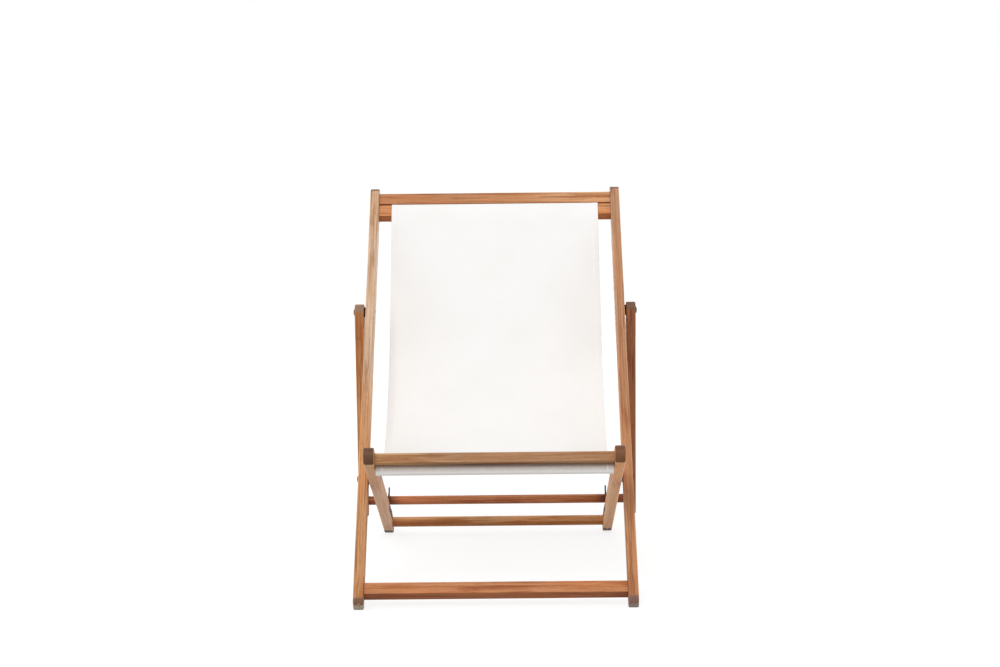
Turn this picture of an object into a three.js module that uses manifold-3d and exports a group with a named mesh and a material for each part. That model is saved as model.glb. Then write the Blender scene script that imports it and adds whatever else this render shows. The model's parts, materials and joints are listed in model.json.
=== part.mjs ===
// Folding sling deck chair: oiled hardwood frames and an off-white canvas sling.
// The back frame stands on its front feet and leans back. The seat frame crosses it on two
// pivot bolts and stands on its rear feet. The prop frame hangs from the back frame, and its
// dowel lies across the seat rails at the first notch of two steel plates.
// Millimetres, +Z up, feet on z = 0. The sitter faces -Y, and left is -X, as seen from the front.
// A station is a distance along a rail, and (y, z) pairs are points of the side view.

import * as THREE from "three";
import { mergeVertices } from "three/addons/utils/BufferGeometryUtils.js";
import Module from "manifold-3d";

const wasm = await Module();
wasm.setup();

// Timber of all three frames
const railWidth = 35;
const railThickness = 20;
const railArris = 1.5;
const barArris = 2;
const footFlatDepth = 1;

// Back frame, with stations counted up the rail from the centre of its round foot
const backWidth = 556;
const backLength = 1053;
const backLean = THREE.MathUtils.degToRad(46.4);
const seatPivotStation = 287;
const propPivotStation = 721;
const topSlatRun = 31;
const topSlatDepth = 22;
const footSlatRun = 26;
const footSlatDepth = 24;
const footSlatStation = 21.5;

// Seat frame, with stations counted from the seat pivot
const seatSideGap = 4;
const seatFrontLength = 203;
const seatBarRun = 24;
const seatBarDepth = 20;
const seatBarDrop = 2.5;
const frontBarSetback = 2;
const rearDowelRadius = 11;
const rearDowelOverhang = 34;

// Notched plates let into the inner faces of the seat rails
const firstNotchStation = 347;
const notchPitch = 34;
const notchCount = 3;
const plateThickness = 3;
const plateFoot = 1;
const plateStrapHeight = 7;
const plateTail = 15;
const plateToDowel = 5.5;
const notchClearance = 0.5;
const toothClearance = 0.6;
const guardLength = 22;
const guardRise = 12;
const spikeRise = 15;
const spikeWidth = 4.5;
const spikeTip = 3.5;
const spikeLean = 2;

// Prop frame
const propSideGap = 3.5;
const propDowelRadius = 9.5;
const propTail = 17;
const restLift = 1;
const dowelSocket = 10;

// Sling and the dowels in its hems
const slingSlot = 3.5;
const slingSideGap = 2;
const slingThickness = 1.5;
const slingSag = 200;
const slingBelly = 6;
const slingBend = 3.5;
const hemInset = 2;
const topHemDowelRadius = 6;
const frontHemDowelRadius = 8;
const hemDowelSideGap = 1.5;

// Fasteners
const fitGap = 0.3;
const overrun = 2;
const frameScrew = { head: 4.2, headDepth: 2.8, shank: 2, length: 44, recess: 0.2 };
const plateScrew = { head: 3.2, headDepth: 1.6, shank: 1.7, length: 14 };
const bolt = { head: 7, headRim: 0.8, headDepth: 2.8, shank: 4 };
const sleeveNut = { flange: 8, flangeDepth: 1.6, barrel: 5.6, length: 10, recess: 0.3, grip: 6 };
const washerRadius = 11;

// Faceting
const weldDistance = 0.001;
const boreSides = 16;
const screwSides = 12;
const dowelSides = 24;
const arcSteps = 6;
const slingSteps = 28;
const slingColumns = 8;

// Places across the chair, for the right side
const backOuter = backWidth / 2;
const backInner = backOuter - railThickness;
const seatOuter = backInner - seatSideGap;
const seatInner = seatOuter - railThickness;
const propInner = backOuter + propSideGap;
const propOuter = propInner + railThickness;
const plateInner = seatInner + fitGap;
const plateOuter = plateInner + plateThickness;

// Side view of the back frame
const endRadius = railWidth / 2;
const footCentreHeight = endRadius - footFlatDepth;
const backUp = new THREE.Vector2(Math.sin(backLean), Math.cos(backLean));
const backRear = new THREE.Vector2(Math.cos(backLean), -Math.sin(backLean));
const footCentre = new THREE.Vector2((-backLength * backUp.x) / 2, footCentreHeight);
const backPoint = (across, station) =>
  footCentre.clone().addScaledVector(backUp, station).addScaledVector(backRear, across);
const seatPivot = backPoint(0, seatPivotStation);
const propPivot = backPoint(0, propPivotStation);

// Side view of the seat frame: the notches place the plate, the rear dowel and the rail's end
const lastNotchStation = firstNotchStation + notchPitch * (notchCount - 1);
const plateRearStation = lastNotchStation + plateTail;
const rearDowelStation = plateRearStation + plateToDowel + rearDowelRadius;
const seatRearLength = rearDowelStation + rearDowelOverhang;
const seatSlope = Math.asin((seatPivot.y - footCentreHeight) / seatRearLength);
const seatFront = new THREE.Vector2(-Math.cos(seatSlope), Math.sin(seatSlope));
const seatTop = new THREE.Vector2(Math.sin(seatSlope), Math.cos(seatSlope));
const seatPoint = (across, station) =>
  seatPivot.clone().addScaledVector(seatFront, station).addScaledVector(seatTop, across);

// Side view of the prop frame: its dowel lies just over the seat rails at the first notch
const restHeight = endRadius + propDowelRadius + restLift;
const restPoint = seatPoint(restHeight, -firstNotchStation);
const propReach = restPoint.distanceTo(propPivot);
const propTilt = Math.atan2(restPoint.x - propPivot.x, propPivot.y - restPoint.y);

// Stations of the slats, the bars and the slots that the sling passes through
const upperSlatStation = backLength - topSlatRun / 2;
const topSlotStation = backLength - topSlatRun - slingSlot / 2;
const lowerSlatStation = backLength - topSlatRun - slingSlot - topSlatRun / 2;
const frontBarStation = seatFrontLength - frontBarSetback - seatBarRun / 2;
const frontSlotStation = frontBarStation - seatBarRun / 2 - slingSlot / 2;
const clampBarStation = frontBarStation - seatBarRun - slingSlot;

// Materials
const wood = (colour) =>
  new THREE.MeshStandardMaterial({ color: colour, roughness: 0.55, metalness: 0 });
const railWood = wood(0xb98455);
const barWood = wood(0xa8693f);
const dowelWood = wood(0x9a5f38);
const canvas = new THREE.MeshStandardMaterial({ color: 0xf3f1ec, roughness: 0.9, metalness: 0 });
const bronzedSteel = new THREE.MeshStandardMaterial({
  color: 0x4a3b33,
  roughness: 0.45,
  metalness: 0.8,
});
const plainSteel = new THREE.MeshStandardMaterial({
  color: 0x8d8a86,
  roughness: 0.35,
  metalness: 0.9,
});

// A closed solid from a geometry, with its shared corners welded
function solid(geometry) {
  const bare = new THREE.BufferGeometry();
  bare.setAttribute("position", geometry.getAttribute("position").clone());
  if (geometry.index) bare.setIndex(geometry.index.clone());
  const welded = mergeVertices(bare, weldDistance);
  const index = welded.index.array;
  const corners = [];
  for (let i = 0; i < index.length; i += 3) {
    const [a, b, c] = [index[i], index[i + 1], index[i + 2]];
    if (a !== b && b !== c && c !== a) corners.push(a, b, c);
  }
  const shell = (order) =>
    new wasm.Manifold(
      new wasm.Mesh({
        numProp: 3,
        vertProperties: new Float32Array(welded.attributes.position.array),
        triVerts: new Uint32Array(order),
      }),
    );
  const made = shell(corners);
  return made.volume() < 0 ? shell(corners.toReversed()) : made;
}

// A geometry from a solid, with flat faces
function surface(body) {
  const mesh = body.getMesh();
  const geometry = new THREE.BufferGeometry();
  geometry.setAttribute("position", new THREE.BufferAttribute(mesh.vertProperties, 3));
  geometry.setIndex(new THREE.BufferAttribute(mesh.triVerts, 1));
  const flat = geometry.toNonIndexed();
  flat.computeVertexNormals();
  return flat;
}

// An outline drawn in (y, z), extruded along x from one face to the other
function extrudeAcross(shape, from, to, arris = 0) {
  const geometry = new THREE.ExtrudeGeometry(shape, {
    depth: to - from - 2 * arris,
    bevelEnabled: arris > 0,
    bevelThickness: arris,
    bevelSize: arris,
    bevelOffset: -arris,
    bevelSegments: 1,
    curveSegments: arcSteps,
  });
  geometry.translate(0, 0, arris);
  const alongY = new THREE.Vector3(0, 1, 0);
  const alongZ = new THREE.Vector3(0, 0, 1);
  const alongX = new THREE.Vector3(1, 0, 0);
  geometry.applyMatrix4(new THREE.Matrix4().makeBasis(alongY, alongZ, alongX));
  return geometry.translate(from, 0, 0);
}

// A turned piece about the x axis, from a profile of [x, radius] pairs
function turned(profile, sides = boreSides) {
  const points = profile.map(([x, radius]) => new THREE.Vector2(radius, x));
  return new THREE.LatheGeometry(points, sides).rotateZ(-Math.PI / 2);
}

const rod = (radius, from, to, sides) =>
  turned([[from, 0], [from, radius], [to, radius], [to, 0]], sides);

const ring = (radius, bore, from, to) =>
  turned([[from, bore], [from, radius], [to, radius], [to, bore], [from, bore]]);

// The round-ended outline of a rail between two stations
function railOutline(from, to) {
  const shape = new THREE.Shape();
  shape.absarc(0, to, endRadius, 0, Math.PI, false);
  shape.absarc(0, from, endRadius, Math.PI, 2 * Math.PI, false);
  return shape;
}

// A bar's section with eased edges: run is along the rails, depth is across them
function barOutline(run, depth) {
  const [y, z] = [depth / 2, run / 2];
  const shape = new THREE.Shape();
  shape.absarc(y - barArris, z - barArris, barArris, 0, Math.PI / 2, false);
  shape.absarc(-y + barArris, z - barArris, barArris, Math.PI / 2, Math.PI, false);
  shape.absarc(-y + barArris, -z + barArris, barArris, Math.PI, 1.5 * Math.PI, false);
  shape.absarc(y - barArris, -z + barArris, barArris, 1.5 * Math.PI, 2 * Math.PI, false);
  return shape;
}

const moved = (geometry, across, station) => geometry.clone().translate(0, across, station);

const cut = (blank, tools) =>
  surface(tools.reduce((body, tool) => body.subtract(solid(tool)), solid(blank)));

// What lies under the floor at a round foot, seen from a frame that is turned about x
function underFloor(turn, station) {
  const depth = endRadius;
  const box = new THREE.BoxGeometry(4 * backWidth, 4 * railWidth, depth);
  box.translate(0, 0, -footCentreHeight - depth / 2);
  return box.rotateX(-turn).translate(0, 0, station);
}

// Countersunk screw with its head flush in the face at x = face, and the hole for it
function frameScrewShape(face, gap = 0) {
  const top = face - frameScrew.recess;
  const end = top - frameScrew.length - gap;
  const neck = top - frameScrew.headDepth;
  const mouth = gap > 0 ? face + overrun : top;
  const profile = [
    [end, 0],
    [end, frameScrew.shank + gap],
    [neck, frameScrew.shank + gap],
    [top, frameScrew.head + gap],
    ...(gap > 0 ? [[mouth, frameScrew.head + gap]] : []),
    [mouth, 0],
  ];
  return turned(profile, screwSides);
}

// Pan-head screw driven outwards through a plate, and the hole for it
function plateScrewShape(gap = 0) {
  const under = plateInner - fitGap;
  const end = under + plateScrew.length + gap;
  const shank = plateScrew.shank + gap;
  if (gap > 0) return rod(shank, under - overrun, end, screwSides);
  const top = under - plateScrew.headDepth;
  const profile = [
    [top, 0],
    [top, plateScrew.head / 2],
    [under - plateScrew.headDepth / 2, plateScrew.head],
    [under, plateScrew.head],
    [under, shank],
    [end, shank],
    [end, 0],
  ];
  return turned(profile, screwSides);
}

// Bolt with a low domed head on the face at x = face, reaching inwards to x = end
function boltShape(face, end) {
  const under = face + fitGap;
  const rim = under + bolt.headRim;
  const domeDepth = bolt.headDepth - bolt.headRim;
  const dome = [];
  for (let i = 0; i <= arcSteps; i += 1) {
    const angle = ((Math.PI / 2) * i) / arcSteps;
    dome.push([rim + domeDepth * Math.sin(angle), bolt.head * Math.cos(angle)]);
  }
  dome[arcSteps][1] = 0;
  return turned([
    [end, 0],
    [end, bolt.shank],
    [under, bolt.shank],
    [under, bolt.head],
    ...dome,
  ]);
}

const boltHole = bolt.shank + fitGap;

// Flanged sleeve nut with a closed face, let into the inner face at x = face
const sleeveEnd = (face) => face + sleeveNut.recess + sleeveNut.length;

function sleeveNutShape(face) {
  const flangeFrom = face + sleeveNut.recess;
  const flangeTo = flangeFrom + sleeveNut.flangeDepth;
  const boreBottom = sleeveEnd(face) - sleeveNut.grip - fitGap;
  return turned([
    [flangeFrom, 0],
    [flangeFrom, sleeveNut.flange],
    [flangeTo, sleeveNut.flange],
    [flangeTo, sleeveNut.barrel],
    [sleeveEnd(face), sleeveNut.barrel],
    [sleeveEnd(face), boltHole],
    [boreBottom, boltHole],
    [boreBottom, 0],
  ]);
}

// Holes through a rail for a pivot bolt and its sleeve nut
function pivotHoles(inner, outer, station) {
  const start = inner - overrun;
  const flangeEnd = inner + sleeveNut.recess + sleeveNut.flangeDepth + fitGap;
  return [
    rod(boltHole, start, outer + overrun),
    rod(sleeveNut.barrel + fitGap, start, sleeveEnd(inner) + fitGap),
    rod(sleeveNut.flange + fitGap, start, flangeEnd),
  ].map((hole) => moved(hole, 0, station));
}

const chair = new THREE.Group();
const backFrame = new THREE.Group();
const seatFrame = new THREE.Group();
const propFrame = new THREE.Group();
backFrame.position.set(0, footCentre.x, footCentre.y);
backFrame.rotation.x = -backLean;
seatFrame.position.set(0, seatPivot.x, seatPivot.y);
seatFrame.rotation.x = Math.PI / 2 - seatSlope;
propFrame.position.set(0, propPivot.x, propPivot.y);
propFrame.rotation.x = propTilt;
chair.add(backFrame, seatFrame, propFrame);

function add(group, name, geometry, material, across = 0, station = 0) {
  const mesh = new THREE.Mesh(geometry, material);
  mesh.name = name;
  mesh.position.set(0, across, station);
  group.add(mesh);
  return mesh;
}

// A piece made for the right side, and its mirror image on the left
function addPair(group, name, geometry, material, across = 0, station = 0) {
  add(group, name + "_left", geometry, material, across, station).scale.x = -1;
  add(group, name + "_right", geometry, material, across, station);
}

// A bar between two rails, with a screw into each end
function addBar(group, name, blank, face, station, material, across = 0) {
  const hole = frameScrewShape(face, fitGap);
  const otherHole = hole.clone().rotateZ(Math.PI);
  add(group, name, cut(blank, [hole, otherHole]), material, across, station);
  addPair(group, name + "_screw", frameScrewShape(face), plainSteel, across, station);
}

function addBackFrame() {
  const inner = backInner - fitGap;
  const slat = extrudeAcross(barOutline(topSlatRun, topSlatDepth), -inner, inner);
  const footSlat = extrudeAcross(barOutline(footSlatRun, footSlatDepth), -inner, inner);
  const screwHole = frameScrewShape(backOuter, fitGap);
  const blank = extrudeAcross(railOutline(0, backLength), backInner, backOuter, railArris);
  const rail = cut(blank, [
    underFloor(-backLean, 0),
    moved(screwHole, 0, upperSlatStation),
    moved(screwHole, 0, lowerSlatStation),
    moved(screwHole, 0, footSlatStation),
    moved(rod(boltHole, backInner - overrun, backOuter + overrun), 0, seatPivotStation),
    ...pivotHoles(backInner, backOuter, propPivotStation),
  ]);
  addPair(backFrame, "outer_rail", rail, railWood);
  addBar(backFrame, "top_slat_upper", slat, backOuter, upperSlatStation, barWood);
  addBar(backFrame, "top_slat_lower", slat, backOuter, lowerSlatStation, barWood);
  addBar(backFrame, "foot_slat", footSlat, backOuter, footSlatStation, barWood);
}

function addSeatPivots() {
  const washer = ring(washerRadius, boltHole, seatOuter + fitGap, backInner - fitGap);
  const pivotBolt = boltShape(backOuter, sleeveEnd(seatInner) - sleeveNut.grip);
  const nut = sleeveNutShape(seatInner);
  addPair(backFrame, "seat_pivot_bolt", pivotBolt, bronzedSteel, 0, seatPivotStation);
  addPair(backFrame, "seat_pivot_washer", washer, plainSteel, 0, seatPivotStation);
  addPair(backFrame, "seat_pivot_nut", nut, plainSteel, 0, seatPivotStation);
}

function addPropPivots() {
  const spacer = ring(washerRadius, boltHole, backOuter + fitGap, propInner - fitGap);
  const pivotBolt = boltShape(propOuter, sleeveEnd(backInner) - sleeveNut.grip);
  const nut = sleeveNutShape(backInner);
  addPair(backFrame, "prop_pivot_bolt", pivotBolt, bronzedSteel, 0, propPivotStation);
  addPair(backFrame, "prop_pivot_spacer", spacer, bronzedSteel, 0, propPivotStation);
  addPair(backFrame, "prop_pivot_sleeve_nut", nut, plainSteel, 0, propPivotStation);
}

// Outline of a notched plate in (y, z): a strap with low teeth, and a guard with a spike before
// the first notch
const gullet = propDowelRadius + notchClearance;
const guardRear = firstNotchStation - gullet;
const guardFront = guardRear - guardLength;

function plateOutline() {
  const strapTop = plateFoot + plateStrapHeight;
  const guardTop = restHeight + guardRise;
  const spikeTop = guardTop + spikeRise;
  const spikeEnd = guardRear + spikeLean;
  const crest = (station) =>
    endRadius + restLift - toothClearance + ((station - firstNotchStation) * restLift) / notchPitch;
  const shape = new THREE.Shape();
  shape.moveTo(plateFoot, -guardFront);
  shape.lineTo(plateFoot, -plateRearStation);
  shape.lineTo(crest(lastNotchStation + gullet), -plateRearStation);
  for (let i = notchCount - 1; i >= 0; i -= 1) {
    const station = firstNotchStation + notchPitch * i;
    shape.lineTo(crest(station + gullet), -(station + gullet));
    shape.absarc(strapTop + gullet, -station, gullet, -Math.PI / 2, -1.5 * Math.PI, true);
  }
  shape.lineTo(guardTop, -guardRear);
  shape.lineTo(spikeTop - spikeTip, -spikeEnd);
  shape.lineTo(spikeTop, -(spikeEnd - spikeTip / 2));
  shape.lineTo(spikeTop - spikeTip, -(spikeEnd - spikeTip));
  shape.lineTo(guardTop, -(guardRear - spikeWidth));
  shape.quadraticCurveTo(guardTop, -guardFront, strapTop, -guardFront);
  return shape;
}

// What the seat rail loses where a plate is let into its inner face, up to its upper edge
function plateRecess() {
  const from = plateFoot - fitGap;
  const to = endRadius + overrun;
  const length = plateRearStation - guardFront + 2 * fitGap;
  const depth = plateThickness + 2 * fitGap + overrun;
  const box = new THREE.BoxGeometry(depth, to - from, length);
  return box.translate(
    seatInner - overrun + depth / 2,
    (from + to) / 2,
    -(guardFront + plateRearStation) / 2,
  );
}

function addSeatFrame() {
  const inner = seatInner - fitGap;
  const bar = extrudeAcross(barOutline(seatBarRun, seatBarDepth), -inner, inner);
  const screwHole = frameScrewShape(seatOuter, fitGap);
  const plateScrewHole = plateScrewShape(fitGap);
  const screwHeight = plateFoot + plateStrapHeight / 2;
  const firstScrew = guardFront + 2 * plateScrew.head;
  const lastScrew = plateRearStation - 2 * plateScrew.head;
  const screwStations = [firstScrew, (firstScrew + lastScrew) / 2, lastScrew];
  const socketBottom = seatInner + dowelSocket;
  const outline = railOutline(-seatRearLength, seatFrontLength);
  const blank = extrudeAcross(outline, seatInner, seatOuter, railArris);
  const rail = cut(blank, [
    underFloor(Math.PI / 2 - seatSlope, -seatRearLength),
    moved(screwHole, -seatBarDrop, frontBarStation),
    moved(screwHole, -seatBarDrop, clampBarStation),
    moved(screwHole, 0, -rearDowelStation),
    moved(
      rod(rearDowelRadius + fitGap, seatInner - overrun, socketBottom, dowelSides),
      0,
      -rearDowelStation,
    ),
    plateRecess(),
    ...pivotHoles(seatInner, seatOuter, 0),
    ...screwStations.map((station) => moved(plateScrewHole, screwHeight, -station)),
  ]);
  const dowelEnd = socketBottom - fitGap;
  const rearDowel = rod(rearDowelRadius, -dowelEnd, dowelEnd, dowelSides);
  const plate = cut(
    extrudeAcross(plateOutline(), plateInner, plateOuter),
    screwStations.map((station) => moved(plateScrewHole, screwHeight, -station)),
  );
  const drop = -seatBarDrop;
  addPair(seatFrame, "seat_rail", rail, railWood);
  addBar(seatFrame, "seat_front_bar", bar, seatOuter, frontBarStation, barWood, drop);
  addBar(seatFrame, "seat_clamp_bar", bar, seatOuter, clampBarStation, barWood, drop);
  addBar(seatFrame, "seat_rear_dowel", rearDowel, seatOuter, -rearDowelStation, dowelWood);
  addPair(seatFrame, "ratchet_plate", plate, bronzedSteel);
  screwStations.forEach((station, i) => {
    const name = "ratchet_screw_" + (i + 1);
    addPair(seatFrame, name, plateScrewShape(), plainSteel, screwHeight, -station);
  });
}

function addPropFrame() {
  const socketBottom = propInner + dowelSocket;
  const dowelEnd = socketBottom - fitGap;
  const blank = extrudeAcross(
    railOutline(-(propReach + propTail), 0),
    propInner,
    propOuter,
    railArris,
  );
  const leg = cut(blank, [
    rod(boltHole, propInner - overrun, propOuter + overrun),
    moved(
      rod(propDowelRadius + fitGap, propInner - overrun, socketBottom, dowelSides),
      0,
      -propReach,
    ),
    moved(frameScrewShape(propOuter, fitGap), 0, -propReach),
  ]);
  const dowel = rod(propDowelRadius, -dowelEnd, dowelEnd, dowelSides);
  addPair(propFrame, "prop_leg", leg, railWood);
  addBar(propFrame, "prop_dowel", dowel, propOuter, -propReach, dowelWood);
}

// Distances of the hem dowels' axes from the middle planes of the slats and of the seat bars
const hemWall = fitGap + slingThickness;
const topHemAcross = topSlatDepth / 2 + fitGap + topHemDowelRadius + hemWall;
const frontHemAcross = -(
  seatBarDrop +
  seatBarDepth / 2 +
  fitGap +
  frontHemDowelRadius +
  hemWall
);
const slingHalfWidth = seatInner - slingSideGap;

// The sling's middle line in the side view, from the hem behind the slats to the one below the bars
function slingPath() {
  const half = slingThickness / 2;
  const lift = fitGap + half;
  const topFace = -(topSlatDepth / 2 + lift);
  const seatFace = seatBarDepth / 2 - seatBarDrop + lift;
  const path = [backPoint(topHemAcross - topHemDowelRadius - fitGap - half, topSlotStation)];
  for (let i = 0; i <= arcSteps; i += 1) {
    const turn = ((Math.PI / 2) * i) / arcSteps;
    const across = topFace + slingBend * (1 - Math.sin(turn));
    path.push(backPoint(across, topSlotStation - slingBend * (1 - Math.cos(turn))));
  }
  const top = backPoint(topFace, lowerSlatStation - topSlatRun / 2);
  const front = seatPoint(seatFace, clampBarStation - seatBarRun / 2);
  const free = path.length;
  for (let i = 0; i <= slingSteps; i += 1) {
    const share = i / slingSteps;
    const point = top.clone().lerp(front, share);
    point.y -= slingSag * 4 * share * (1 - share);
    path.push(point);
  }
  for (let i = 0; i <= arcSteps; i += 1) {
    const turn = ((Math.PI / 2) * i) / arcSteps;
    const across = seatFace - slingBend * (1 - Math.cos(turn));
    path.push(seatPoint(across, frontSlotStation - slingBend * (1 - Math.sin(turn))));
  }
  path.push(seatPoint(frontHemAcross + frontHemDowelRadius + fitGap + half, frontSlotStation));
  return { path, free };
}

// The cloth between the hems: a sheet that follows the path and sinks a little along its middle
function slingSheet({ path, free }) {
  const positions = [];
  const corners = [];
  const columns = slingColumns + 1;
  path.forEach((point, i) => {
    const before = path[Math.max(i - 1, 0)];
    const after = path[Math.min(i + 1, path.length - 1)];
    const along = after.clone().sub(before).normalize();
    const share = THREE.MathUtils.clamp((i - free) / slingSteps, 0, 1);
    for (const side of [1, -1]) {
      for (let j = 0; j < columns; j += 1) {
        const place = (2 * j) / slingColumns - 1;
        const drop = slingBelly * (1 - place * place) * Math.sin(Math.PI * share);
        const offset = (side * slingThickness) / 2;
        positions.push(
          place * slingHalfWidth,
          point.x + along.y * offset,
          point.y - along.x * offset - drop,
        );
      }
    }
  });
  const at = (i, layer, j) => (2 * i + layer) * columns + j;
  const quad = (a, b, c, d) => corners.push(a, b, c, a, c, d);
  const last = path.length - 1;
  for (let i = 0; i < last; i += 1) {
    for (let j = 0; j < slingColumns; j += 1) {
      quad(at(i, 0, j), at(i, 0, j + 1), at(i + 1, 0, j + 1), at(i + 1, 0, j));
      quad(at(i, 1, j + 1), at(i, 1, j), at(i + 1, 1, j), at(i + 1, 1, j + 1));
    }
    quad(at(i, 1, 0), at(i, 0, 0), at(i + 1, 0, 0), at(i + 1, 1, 0));
    quad(
      at(i, 0, slingColumns),
      at(i, 1, slingColumns),
      at(i + 1, 1, slingColumns),
      at(i + 1, 0, slingColumns),
    );
  }
  for (let j = 0; j < slingColumns; j += 1) {
    quad(at(0, 0, j + 1), at(0, 0, j), at(0, 1, j), at(0, 1, j + 1));
    quad(at(last, 0, j), at(last, 0, j + 1), at(last, 1, j + 1), at(last, 1, j));
  }
  const sheet = new THREE.BufferGeometry();
  sheet.setAttribute("position", new THREE.Float32BufferAttribute(positions, 3));
  sheet.setIndex(corners);
  return sheet;
}

// The pocket that a hem dowel lies in
function hemPocket(centre, dowelRadius) {
  const width = slingHalfWidth - hemInset;
  return ring(dowelRadius + hemWall, dowelRadius + fitGap, -width, width).translate(
    0,
    centre.x,
    centre.y,
  );
}

function addSling() {
  const topHem = backPoint(topHemAcross, topSlotStation);
  const frontHem = seatPoint(frontHemAcross, frontSlotStation);
  const cloth = solid(slingSheet(slingPath()))
    .add(solid(hemPocket(topHem, topHemDowelRadius)))
    .add(solid(hemPocket(frontHem, frontHemDowelRadius)));
  const dowelEnd = seatInner - hemDowelSideGap;
  const topDowel = rod(topHemDowelRadius, -dowelEnd, dowelEnd);
  const frontDowel = rod(frontHemDowelRadius, -dowelEnd, dowelEnd);
  add(chair, "sling", surface(cloth), canvas);
  add(backFrame, "top_hem_dowel", topDowel, dowelWood, topHemAcross, topSlotStation);
  add(seatFrame, "front_hem_dowel", frontDowel, dowelWood, frontHemAcross, frontSlotStation);
}

addBackFrame();
addSeatPivots();
addPropPivots();
addSeatFrame();
addPropFrame();
addSling();

export default chair;
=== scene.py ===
"""Folding sling deck chair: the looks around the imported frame. Metres, +Z up, the sitter faces -Y."""

import json
import math
import random

import bmesh
import bpy
from mathutils import Matrix, Vector, noise


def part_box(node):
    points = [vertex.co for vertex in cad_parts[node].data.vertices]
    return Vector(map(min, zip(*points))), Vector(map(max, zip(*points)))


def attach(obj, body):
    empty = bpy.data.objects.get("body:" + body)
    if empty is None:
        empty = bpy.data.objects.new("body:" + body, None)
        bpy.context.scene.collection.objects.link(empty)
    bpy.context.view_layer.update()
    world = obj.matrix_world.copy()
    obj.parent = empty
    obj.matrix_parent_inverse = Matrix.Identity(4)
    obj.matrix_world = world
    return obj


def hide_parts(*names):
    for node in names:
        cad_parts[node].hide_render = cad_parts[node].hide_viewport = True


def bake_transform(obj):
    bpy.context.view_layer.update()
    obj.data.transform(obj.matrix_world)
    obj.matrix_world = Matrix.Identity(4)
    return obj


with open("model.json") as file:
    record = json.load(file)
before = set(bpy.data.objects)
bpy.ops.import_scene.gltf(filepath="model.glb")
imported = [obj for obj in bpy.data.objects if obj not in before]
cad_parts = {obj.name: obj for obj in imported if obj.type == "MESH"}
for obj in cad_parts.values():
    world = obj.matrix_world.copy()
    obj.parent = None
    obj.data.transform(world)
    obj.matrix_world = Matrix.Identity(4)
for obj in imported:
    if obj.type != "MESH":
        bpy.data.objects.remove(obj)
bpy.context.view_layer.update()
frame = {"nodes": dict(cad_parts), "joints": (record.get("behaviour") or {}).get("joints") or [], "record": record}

MM = 0.001
WHITE = (1, 1, 1, 1)
JOINTS = {joint["name"]: joint for joint in frame["joints"]}


def middle(node):
    """The middle of a CAD node's box."""
    low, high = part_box(node)
    return (low + high) / 2


def size_of(node):
    """The size of a CAD node's box."""
    low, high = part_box(node)
    return high - low


def side_view(point):
    """A point's place in the side view, as (y, z)."""
    return Vector((point[1], point[2]))


def lerp(first, second, share):
    """The value at share of the way from first to second."""
    return first * (1 - share) + second * share


# Directions of the three frames in the side view
seat_pivot = side_view(JOINTS["seat_fold"]["pos_m"])
prop_pivot = side_view(JOINTS["prop_fold"]["pos_m"])
back_up = (prop_pivot - seat_pivot).normalized()
back_rear = Vector((back_up.y, -back_up.x))
seat_front = (seat_pivot - side_view(middle("seat_rear_dowel"))).normalized()
seat_top = Vector((seat_front.y, -seat_front.x))
prop_up = (prop_pivot - side_view(middle("prop_dowel"))).normalized()


# The photograph's camera, its lens and sensor in millimetres
CAMERA_PLACE = Vector((0.043, -4.551, 1.144))
CAMERA_YAW = math.radians(-0.4032)
CAMERA_PITCH = math.radians(8.235)
CAMERA_ROLL = math.radians(-0.64)
LENS = 79.2
SENSOR = 36.0
CLIP_END = 100


def add_camera():
    """A camera that looks along +Y, turned right by the yaw, down by the pitch,
    and about its own axis by the roll."""
    data = bpy.data.cameras.new("photo_camera")
    data.lens = LENS
    data.sensor_width = SENSOR
    data.clip_end = CLIP_END
    camera = bpy.data.objects.new("photo_camera", data)
    ahead = Vector((math.sin(CAMERA_YAW), math.cos(CAMERA_YAW), 0))
    right = Vector((math.cos(CAMERA_YAW), -math.sin(CAMERA_YAW), 0))
    up = Vector((0, 0, 1))
    look = ahead * math.cos(CAMERA_PITCH) - up * math.sin(CAMERA_PITCH)
    top = up * math.cos(CAMERA_PITCH) + ahead * math.sin(CAMERA_PITCH)
    side = right * math.cos(CAMERA_ROLL) + top * math.sin(CAMERA_ROLL)
    crown = top * math.cos(CAMERA_ROLL) - right * math.sin(CAMERA_ROLL)
    turn = Matrix((side, crown, -look)).transposed().to_4x4()
    camera.matrix_world = Matrix.Translation(CAMERA_PLACE) @ turn
    bpy.context.scene.collection.objects.link(camera)
    bpy.context.scene.camera = camera


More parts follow.
